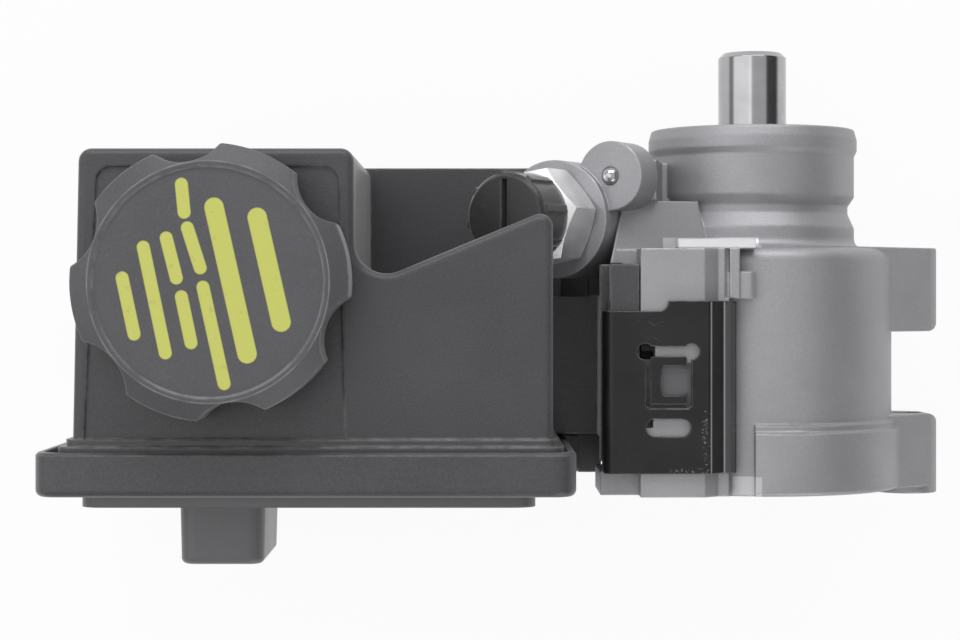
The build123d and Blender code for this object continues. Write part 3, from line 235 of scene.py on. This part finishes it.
# %% [markdown]
# Three effects return in nearly every finish, so each is a node group. The first is grain: the
# tiny even relief of die-cast metal or of an eroded plastic mould. Noise at the grain's own
# size gives it, with a slower noise that makes the surface mottled rather than printed.

# %% Group: grain
def new_group(name, inputs, outputs):
    """An empty node group with named inputs and outputs."""
    group = bpy.data.node_groups.new(name, "ShaderNodeTree")
    for label, kind, value in inputs:
        plug = group.interface.new_socket(label, in_out="INPUT", socket_type="NodeSocket" + kind)
        if value is not None:
            plug.default_value = value
    for label, kind in outputs:
        group.interface.new_socket(label, in_out="OUTPUT", socket_type="NodeSocket" + kind)
    way_in = group.nodes.new("NodeGroupInput")
    way_out = group.nodes.new("NodeGroupOutput")
    return group, way_in.outputs, way_out.inputs


def use(tree, group, **sockets):
    """Places a group in a material and fills its sockets."""
    made = tree.nodes.new("ShaderNodeGroup")
    made.node_tree = group
    for name, value in sockets.items():
        fill(tree, made.inputs[name.replace("_", " ")], value)
    return made.outputs


grain_group, given, result = new_group(
    "grain",
    [("Vector", "Vector", None), ("Per Metre", "Float", 1500.0), ("Mottle Per Metre", "Float", 60.0)],
    [("Height", "Float"), ("Mottle", "Float")],
)
where = given["Vector"]
fine = add(grain_group, "TexNoise", None, Vector=where, Scale=given["Per Metre"], Detail=2.0, Roughness=0.6)
slow = add(grain_group, "TexNoise", None, Vector=where, Scale=given["Mottle Per Metre"], Detail=5.0)
grain_group.links.new(fine.outputs[0], result["Height"])
grain_group.links.new(spread(grain_group, slow.outputs[0], 0.35, 0.65), result["Mottle"])
print("group:", grain_group.name)

# %% [markdown]
# The second effect is the edge. No moulded or cast edge is razor sharp, and handling rubs it
# first. The Bevel node gives the normal that a rounded edge would have. Where it leans away
# from the real normal there is an edge, and that difference is the mask for rubbed plastic or
# bright metal: the cosine of the lean is 1 on a flat face and falls where the edge turns. Real
# bevels on every edge would cost many triangles and look the same.

# %% Group: edges
lean_starts = 0.985
lean_full = 0.90
edge_group, given, result = new_group(
    "edges",
    [("Vector", "Vector", None), ("Radius", "Float", 0.0006), ("Break Up", "Float", 300.0)],
    [("Edge", "Float"), ("Normal", "Vector")],
)
rounded = add(edge_group, "Bevel", {"samples": 6}, Radius=given["Radius"])
true_normal = add(edge_group, "NewGeometry").outputs["Normal"]
lean = add(edge_group, "VectorMath", {"operation": "DOT_PRODUCT"}, i0=rounded.outputs[0], i1=true_normal)
sharp = spread(edge_group, lean.outputs["Value"], lean_starts, lean_full)
broken = add(edge_group, "TexNoise", None, Vector=given["Vector"], Scale=given["Break Up"], Detail=4.0)
worn = calc(edge_group, "MULTIPLY", sharp, spread(edge_group, broken.outputs[0], 0.40, 0.60, 0.25, 1.0))
edge_group.links.new(worn, result["Edge"])
edge_group.links.new(rounded.outputs[0], result["Normal"])
print("group:", edge_group.name)

# %% [markdown]
# The third effect is wear from boxes and shelves: short thin scratches and small dull spots.
# A scratch is noise that is stretched a lot along one direction, and only its highest peaks
# count. Three directions together don't look like brushing. A Mapping node stretches before it
# turns, which would leave every scratch along an axis, so one node turns and a second stretches.

# %% Group: scuffs
scratch_directions = [
    (28.0, (2600.0, 160.0, 300.0)),
    (-57.0, (2400.0, 140.0, 300.0)),
    (74.0, (3000.0, 220.0, 300.0)),
]
scuff_group, given, result = new_group(
    "scuffs",
    [("Vector", "Vector", None), ("Amount", "Float", 0.5)],
    [("Scratches", "Float"), ("Spots", "Float")],
)
where = given["Vector"]
scratches = 0.0
for degrees, stretch in scratch_directions:
    turn = (0.0, 0.0, math.radians(degrees))
    turned = add(scuff_group, "Mapping", None, Vector=where, Rotation=turn)
    stretched = add(scuff_group, "Mapping", None, Vector=turned.outputs[0], Scale=stretch)
    streak = add(scuff_group, "TexNoise", None, Vector=stretched.outputs[0], Scale=1.0, Detail=1.0)
    peaks = spread(scuff_group, streak.outputs[0], 0.68, 0.80)
    scratches = calc(scuff_group, "MAXIMUM", peaks, scratches)
handled = add(scuff_group, "TexNoise", None, Vector=where, Scale=45.0, Detail=3.0)
handled = spread(scuff_group, handled.outputs[0], 0.48, 0.62)
scratches = calc(scuff_group, "MULTIPLY", scratches, handled)
spots = add(scuff_group, "TexNoise", None, Vector=where, Scale=420.0, Detail=6.0, Roughness=0.7)
spots = calc(scuff_group, "MULTIPLY", spread(scuff_group, spots.outputs[0], 0.60, 0.70), handled)
scuff_group.links.new(calc(scuff_group, "MULTIPLY", scratches, given["Amount"]), result["Scratches"])
scuff_group.links.new(calc(scuff_group, "MULTIPLY", spots, given["Amount"]), result["Spots"])
print("group:", scuff_group.name)

# %% [markdown]
# A few marks have a place of their own: the plain yellow bars on the filler cap, the rubs on the
# shaft and the clips, and the painted highlights on the clips' folds with the painted light on
# the lip beyond them. Such a mark is every point that lies within half a width of a line between
# two ends, as seen from above. The distance to such a line takes a few vector nodes, so it is a
# group that each mark uses once. Where a whole small face differs, such as a milled one or one
# with painted shade, the mask is simply a box.

# %% Group: bar
soft_edge = 0.00012
bar_group, given, result = new_group(
    "bar",
    [("Vector", "Vector", None), ("Start", "Vector", None), ("End", "Vector", None),
     ("Half Width", "Float", 0.001)],
    [("Mask", "Float")],
)
from_start = vector(bar_group, "SUBTRACT", flattened(bar_group, given["Vector"]), given["Start"]).outputs[0]
length = vector(bar_group, "SUBTRACT", given["End"], given["Start"]).outputs[0]
share = calc(bar_group, "DIVIDE", vector(bar_group, "DOT_PRODUCT", from_start, length).outputs["Value"],
             vector(bar_group, "DOT_PRODUCT", length, length).outputs["Value"])
share = calc(bar_group, "MINIMUM", calc(bar_group, "MAXIMUM", share, 0.0), 1.0)
nearest = add(bar_group, "VectorMath", {"operation": "SCALE"}, i0=length, Scale=share).outputs[0]
away = vector(bar_group, "DISTANCE", from_start, nearest).outputs["Value"]
margin = calc(bar_group, "SUBTRACT", away, given["Half Width"])
bar_group.links.new(spread(bar_group, margin, soft_edge, -soft_edge), result["Mask"])


def marks(tree, place, lines):
    """One mask for several bars, each given by two ends and half a width in millimetres."""
    marked = 0.0
    for (x0, y0), (x1, y1), half in lines:
        start = (x0 / 1000, y0 / 1000, 0.0)
        end = (x1 / 1000, y1 / 1000, 0.0)
        mark = use(tree, bar_group, Vector=place, Start=start, End=end, Half_Width=half / 1000)
        marked = calc(tree, "MAXIMUM", mark["Mask"], marked)
    return marked


def patch(tree, place, low, high):
    """A mask for a box between two corners in millimetres, with slightly soft edges."""
    apart = add(tree, "SeparateXYZ", None, Vector=place).outputs
    inside = 1.0
    for axis in range(3):
        from_low = spread(tree, apart[axis], low[axis] / 1000 - soft_edge, low[axis] / 1000 + soft_edge)
        to_high = spread(tree, apart[axis], high[axis] / 1000 + soft_edge, high[axis] / 1000 - soft_edge)
        inside = calc(tree, "MULTIPLY", calc(tree, "MULTIPLY", from_low, to_high), inside)
    return inside


print("group:", bar_group.name)

# %% [markdown]
# A finish starts the same way each time: a Principled shader, Object coordinates, and a bump
# over the rounded normal. Object coordinates are the CAD frame's own metres, so a pattern has
# its real size on every piece, and nothing needs unwrapping.

# %% Start of a finish
finishes = {}


def start_finish(slot_name, edge_radius, grain_per_metre, mottle_per_metre, relief, wear):
    """The parts that all finishes share. The edge radius and the grain's relief are in metres."""
    material = bpy.data.materials.new(slot_name)
    material.use_nodes = True
    tree = material.node_tree
    shader = tree.nodes["Principled BSDF"]
    place = add(tree, "TexCoord").outputs["Object"]
    grain = use(tree, grain_group, Vector=place, Per_Metre=grain_per_metre,
                Mottle_Per_Metre=mottle_per_metre)
    edges = use(tree, edge_group, Vector=place, Radius=edge_radius)
    scuffs = use(tree, scuff_group, Vector=place, Amount=wear)
    bump = add(tree, "Bump", None, Height=grain["Height"], Normal=edges["Normal"], Strength=1.0,
               Distance=relief)
    tree.links.new(bump.outputs[0], shader.inputs["Normal"])
    finishes[slot_name] = material
    return tree, shader, place, grain, edges, scuffs


# %% [markdown]
# The body is die-cast aluminium as it left the die: a dull, slightly cold grey with a fine even
# grain, like very fine sand. It is metal, but its skin is rough and oxidised, so it is only half
# metallic. The grain shows twice, as relief and as a small change of tone, and the brighter
# metal comes through on rubbed edges. Two small faces were milled afterwards and shine: the
# chamfer in front of the rail, and the end of the rear band. Under the clip's window the rail
# gets painted shade, a dark patch, and the left hole in it gets a near-black painted shadow.

# %% Finish: cast aluminium
milled_chamfer = ((-24.5, -29.9, 15.0), (-1.5, -27.4, 45.0))
milled_band_end = ((-8.6, -95.0, 10.0), (-2.0, -84.2, 45.0))
window_shade_box = ((-27.3, -67.6, 25.0), (-17.6, -57.0, 45.0))
hole_shadow_box = ((-31.2, -56.4, 20.0), (-27.6, -52.4, 45.0))
tree, shader, place, grain, edges, scuffs = start_finish(
    "cast_housing", edge_radius=0.0007, grain_per_metre=2300.0, mottle_per_metre=45.0,
    relief=0.00006, wear=0.5)
skin = blend_colours(tree, grain["Mottle"], rgb(0.360, 0.358, 0.376), rgb(0.408, 0.405, 0.426))
sand = spread(tree, grain["Height"], 0.36, 0.64)
skin = blend_colours(tree, calc(tree, "MULTIPLY", sand, 0.22), skin, rgb(0.22, 0.22, 0.23))
skin = blend_colours(tree, calc(tree, "MULTIPLY", edges["Edge"], 0.45), skin, rgb(0.60, 0.60, 0.62))
band_end = calc(tree, "MULTIPLY", patch(tree, place, *milled_band_end), 0.55)
milled = calc(tree, "MAXIMUM", patch(tree, place, *milled_chamfer), band_end)
skin = blend_colours(tree, milled, skin, rgb(0.70, 0.70, 0.71))
# Painted shade: the rail under the clip's window is darkened, and the left hole gets a near-black painted
# shadow.
window_shade = calc(tree, "MULTIPLY", patch(tree, place, *window_shade_box), 0.85)
skin = blend_colours(tree, window_shade, skin, rgb(0.10, 0.10, 0.105))
skin = blend_colours(tree, patch(tree, place, *hole_shadow_box), skin, rgb(0.012, 0.012, 0.013))
tree.links.new(skin, shader.inputs["Base Color"])
shine_mask = calc(tree, "MAXIMUM", edges["Edge"], milled)
tree.links.new(spread(tree, shine_mask, 0.0, 1.0, 0.50, 0.34), shader.inputs["Roughness"])
shader.inputs["Metallic"].default_value = 0.60
print("finishes:", list(finishes))

# %% [markdown]
# The shaft is ground and polished for the pulley's press fit. Grinding leaves hair-fine rings
# round the shaft, so the bump is noise that changes along the shaft's length, which is Y, and
# hardly at all round it. A few rubs near its right edge show where something was pressed on.

# %% Finish: ground steel
pulley_rubs = [
    ((6.2, 13.5), (7.4, 10.0), 0.35),
    ((7.0, 12.2), (6.0, 9.2), 0.25),
    ((5.6, 6.2), (7.2, 2.6), 0.4),
]
tree, shader, place, grain, edges, scuffs = start_finish(
    "ground_steel", edge_radius=0.0004, grain_per_metre=900.0, mottle_per_metre=120.0,
    relief=0.000002, wear=0.8)
rings = add(tree, "Mapping", None, Vector=place, Scale=(40.0, 9000.0, 40.0))
rings = add(tree, "TexNoise", None, Vector=rings.outputs[0], Scale=1.0, Detail=3.0)
bump = add(tree, "Bump", None, Height=rings.outputs[0], Normal=edges["Normal"], Strength=0.35,
           Distance=0.00002)
tree.links.new(bump.outputs[0], shader.inputs["Normal"])
steel = blend_colours(tree, grain["Mottle"], rgb(0.39, 0.39, 0.40), rgb(0.44, 0.44, 0.45))
flecks = add(tree, "TexNoise", None, Vector=place, Scale=1400.0, Detail=3.0)
flecks = spread(tree, flecks.outputs[0], 0.45, 0.60)
rubs = calc(tree, "MULTIPLY", marks(tree, place, pulley_rubs), flecks)
steel = blend_colours(tree, rubs, steel, rgb(0.62, 0.62, 0.62))
tree.links.new(steel, shader.inputs["Base Color"])
dulled = calc(tree, "MAXIMUM", rubs, scuffs["Spots"])
tree.links.new(spread(tree, dulled, 0.0, 1.0, 0.16, 0.45), shader.inputs["Roughness"])
shader.inputs["Metallic"].default_value = 1.0
print("finishes:", list(finishes))

# %% [markdown]
# The plainer metals share one recipe with their own tones: bearing steel, machined pump parts,
# springs, the pressed end cover, the zinc plated outlet fitting and the bronze bushing. Each is
# fully metallic, and only its tone and how dull it is make the difference.

# %% Finishes: plain metals
def plain_metal_finish(slot_name, dark, light, dull, relief, wear):
    """Bare or plated metal between two tones. A dull value near 0 shines."""
    tree, shader, place, grain, edges, scuffs = start_finish(
        slot_name, edge_radius=0.0003, grain_per_metre=2200.0, mottle_per_metre=150.0,
        relief=relief, wear=wear)
    tone = blend_colours(tree, grain["Mottle"], dark, light)
    tone = blend_colours(tree, calc(tree, "MULTIPLY", edges["Edge"], 0.6), tone, rgb(0.78, 0.78, 0.77))
    tone = blend_colours(tree, scuffs["Scratches"], tone, rgb(0.80, 0.80, 0.79))
    tree.links.new(tone, shader.inputs["Base Color"])
    tree.links.new(spread(tree, grain["Mottle"], 0.0, 1.0, dull, dull + 0.1), shader.inputs["Roughness"])
    shader.inputs["Metallic"].default_value = 1.0


plain_metal_finish("bearing_steel", rgb(0.46, 0.46, 0.47), rgb(0.54, 0.54, 0.55), 0.18, 0.000003, 0.3)
plain_metal_finish("pump_steel", rgb(0.32, 0.32, 0.33), rgb(0.42, 0.42, 0.42), 0.32, 0.000006, 0.3)
plain_metal_finish("spring_steel", rgb(0.10, 0.10, 0.11), rgb(0.16, 0.16, 0.16), 0.38, 0.000008, 0.3)
plain_metal_finish("pressed_cover", rgb(0.38, 0.38, 0.39), rgb(0.48, 0.48, 0.49), 0.34, 0.000012, 0.7)
plain_metal_finish("plated_fitting", rgb(0.80, 0.80, 0.81), rgb(0.90, 0.90, 0.91), 0.46, 0.000008, 0.8)
plain_metal_finish("bushing_bronze", rgb(0.42, 0.27, 0.13), rgb(0.52, 0.36, 0.19), 0.42, 0.000010, 0.3)
print("finishes:", list(finishes))

# %% [markdown]
# The clips are spring steel under a thin black coat, which has a slight sheen and takes small
# grey scratches. The worst of them are at the rear right corner, where the clip was driven on.
# Its two folds get painted highlights, thin bright lines, and the low strip beyond is painted light.
# The coat is a dark dielectric skin, so the material isn't metallic.

# %% Finish: coated spring steel
driven_corner = [((-15.8, -69.0), (-15.6, -82.4), 1.1), ((-16.0, -82.4), (-24.0, -82.5), 0.9)]
# Painted highlights on the two folds, and painted light on the tilted lip strip beyond them.
fold_highlight_lines = [((x, -43.0), (x, -83.0), 0.16) for x in (-14.6, -11.3)]
lip_light_strip = [((-9.9, -44.0), (-9.9, -82.0), 1.2)]
tree, shader, place, grain, edges, scuffs = start_finish(
    "clip_steel", edge_radius=0.0005, grain_per_metre=2600.0, mottle_per_metre=90.0,
    relief=0.000010, wear=1.0)
coat = blend_colours(tree, grain["Mottle"], rgb(0.007, 0.007, 0.008), rgb(0.012, 0.012, 0.013))
flecks = add(tree, "TexNoise", None, Vector=place, Scale=1900.0, Detail=6.0, Roughness=0.75)
flecks = spread(tree, flecks.outputs[0], 0.57, 0.62)
scraped = calc(tree, "MULTIPLY", marks(tree, place, driven_corner), flecks)
worn = calc(tree, "MULTIPLY", edges["Edge"], 0.55)
scratched = calc(tree, "MULTIPLY", scuffs["Scratches"], 0.25)
wear_and_fold_highlight = calc(tree, "MAXIMUM", marks(tree, place, fold_highlight_lines), scraped)
wear_and_fold_highlight = calc(tree, "MAXIMUM", wear_and_fold_highlight, calc(tree, "MAXIMUM", worn, scratched))
# Painted light: the lip strip beyond the folds is made lighter.
painted_lip_light = calc(tree, "MULTIPLY", marks(tree, place, lip_light_strip), 0.6)
coat = blend_colours(tree, painted_lip_light, coat, rgb(0.085, 0.085, 0.09))
coat = blend_colours(tree, wear_and_fold_highlight, coat, rgb(0.26, 0.26, 0.26))
tree.links.new(coat, shader.inputs["Base Color"])
tree.links.new(spread(tree, grain["Mottle"], 0.0, 1.0, 0.34, 0.46), shader.inputs["Roughness"])
shader.inputs["Specular IOR Level"].default_value = 0.38
print("finishes:", list(finishes))

# %% [markdown]
# Tank, plug and seals are black polymers that differ in gloss: the nylon tank has a grained,
# dull skin, the soft plug shines a little, and rubber is the dullest. Black plastic is never
# quite black in a studio, and its worn edges turn grey, which draws its outline. A little sheen
# stands for the fine dust that greys such a skin where it is seen edge on. Beyond the rim at the
# tank's back, where the pan and the hose boss are, the tone is simply made paler.

# %% Finishes: black polymers
def polymer_finish(slot_name, dark, light, dull, relief, speckle, wear, greyed):
    """Moulded plastic or rubber, with greyed edges and scuffs."""
    tree, shader, place, grain, edges, scuffs = start_finish(
        slot_name, edge_radius=0.0009, grain_per_metre=2300.0, mottle_per_metre=40.0,
        relief=relief, wear=wear)
    tone = blend_colours(tree, grain["Mottle"], dark, light)
    speckles = calc(tree, "MULTIPLY", spread(tree, grain["Height"], 0.40, 0.62), speckle)
    tone = blend_colours(tree, speckles, tone, rgb(0.16, 0.16, 0.17))
    grey_edges = calc(tree, "MULTIPLY", edges["Edge"], greyed)
    tone = blend_colours(tree, grey_edges, tone, rgb(0.22, 0.22, 0.22))
    tone = blend_colours(tree, scuffs["Scratches"], tone, rgb(0.26, 0.26, 0.26))
    spots = calc(tree, "MULTIPLY", scuffs["Spots"], 0.4)
    tone = blend_colours(tree, spots, tone, rgb(0.15, 0.15, 0.15))
    tree.links.new(tone, shader.inputs["Base Color"])
    tree.links.new(spread(tree, grain["Mottle"], 0.0, 1.0, dull, dull + 0.08), shader.inputs["Roughness"])
    shader.inputs["Sheen Weight"].default_value = 0.25
    shader.inputs["Sheen Roughness"].default_value = 0.45
    return tree, shader, place, tone


behind_rim = (-0.0868, -0.0872)
tree, shader, place, tone = polymer_finish(
    "tank_plastic", rgb(0.040, 0.040, 0.044), rgb(0.051, 0.050, 0.055),
    dull=0.36, relief=0.000040, speckle=0.13, wear=0.10, greyed=0.75)
paler = spread(tree, add(tree, "SeparateXYZ", None, Vector=place).outputs[1], *behind_rim)
tone = blend_colours(tree, paler, tone, rgb(0.125, 0.124, 0.130))
tree.links.new(tone, shader.inputs["Base Color"])
polymer_finish(
    "plug_plastic", rgb(0.013, 0.013, 0.014), rgb(0.018, 0.018, 0.019),
    dull=0.30, relief=0.000006, speckle=0.03, wear=0.4, greyed=0.25)
polymer_finish(
    "seal_rubber", rgb(0.018, 0.018, 0.018), rgb(0.026, 0.026, 0.026),
    dull=0.60, relief=0.000010, speckle=0.03, wear=0.2, greyed=0.1)
print("finishes:", list(finishes))

# %% [markdown]
# The filler cap is the same nylon, with plain yellow bars painted on its top. The bars are kept
# to the top face by their height. The disc in its middle is sunk a little, and the two edges of
# the rim round it get painted highlights, thin grey lines broken up by noise, which are two more
# masks: the points at a certain distance from the cap's middle.

# %% Finish: filler cap
low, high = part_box("filler_cap")
cap_middle = ((low[0] + high[0]) / 2, (low[1] + high[1]) / 2, 0.0)
top_depth = 0.0012
rim_highlight_rings = [(0.0252, 0.00016), (0.0264, 0.00014)]
ring_softness = 0.0001
bars = [
    ((-117.0, -24.4), (-111.8, -47.2), 2.1),
    ((-126.4, -22.2), (-119.2, -54.1), 2.1),
    ((-133.5, -17.2), (-132.9, -23.3), 1.4),
    ((-132.2, -26.7), (-129.4, -35.4), 1.4),
    ((-128.8, -39.6), (-124.2, -60.6), 1.4),
    ((-136.8, -28.9), (-134.6, -37.6), 1.4),
    ((-133.5, -41.7), (-131.4, -51.7), 1.4),
    ((-141.8, -30.9), (-137.0, -53.9), 1.4),
    ((-146.4, -37.6), (-143.8, -49.8), 1.4),
]
tree, shader, place, tone = polymer_finish(
    "cap_plastic", rgb(0.056, 0.056, 0.061), rgb(0.070, 0.069, 0.075),
    dull=0.38, relief=0.000040, speckle=0.13, wear=0.22, greyed=0.75)
height = add(tree, "SeparateXYZ", None, Vector=place).outputs[2]
on_top = calc(tree, "GREATER_THAN", height, high[2] - top_depth)
from_middle = vector(tree, "DISTANCE", flattened(tree, place), cap_middle).outputs["Value"]
# Painted highlights: two thin grey rings on the edges of the rim round the disc, broken up by noise.
rim_highlight = 0.0
for radius, half in rim_highlight_rings:
    off = calc(tree, "ABSOLUTE", calc(tree, "SUBTRACT", from_middle, radius))
    rim_highlight = calc(tree, "MAXIMUM", spread(tree, off, half + ring_softness, half - ring_softness), rim_highlight)
shine_mask = add(tree, "TexNoise", None, Vector=place, Scale=220.0, Detail=4.0)
shine_mask = spread(tree, shine_mask.outputs[0], 0.35, 0.60, 0.15, 0.75)
rim_highlight = calc(tree, "MULTIPLY", calc(tree, "MULTIPLY", rim_highlight, shine_mask), on_top)
tone = blend_colours(tree, rim_highlight, tone, rgb(0.24, 0.24, 0.25))
thin = add(tree, "TexNoise", None, Vector=place, Scale=500.0, Detail=5.0)
thin = spread(tree, thin.outputs[0], 0.30, 0.38, 0.85, 1.0)
painted = calc(tree, "MULTIPLY", calc(tree, "MULTIPLY", marks(tree, place, bars), on_top), thin)
tone = blend_colours(tree, painted, tone, rgb(0.52, 0.54, 0.11))
tree.links.new(tone, shader.inputs["Base Color"])
print("bars on the cap:", len(bars))

# %% [markdown]
# Each CAD piece now gets the finish of its slot in the record.

# %% Dress the CAD pieces
for entry in frame["record"]["subparts"]:
    piece = nodes[entry["node"]]
    piece.data.materials.clear()
    piece.data.materials.append(finishes[entry["material_slot"]])

# %% [markdown]
# The last cell only imports json.

# %% Last import
import json
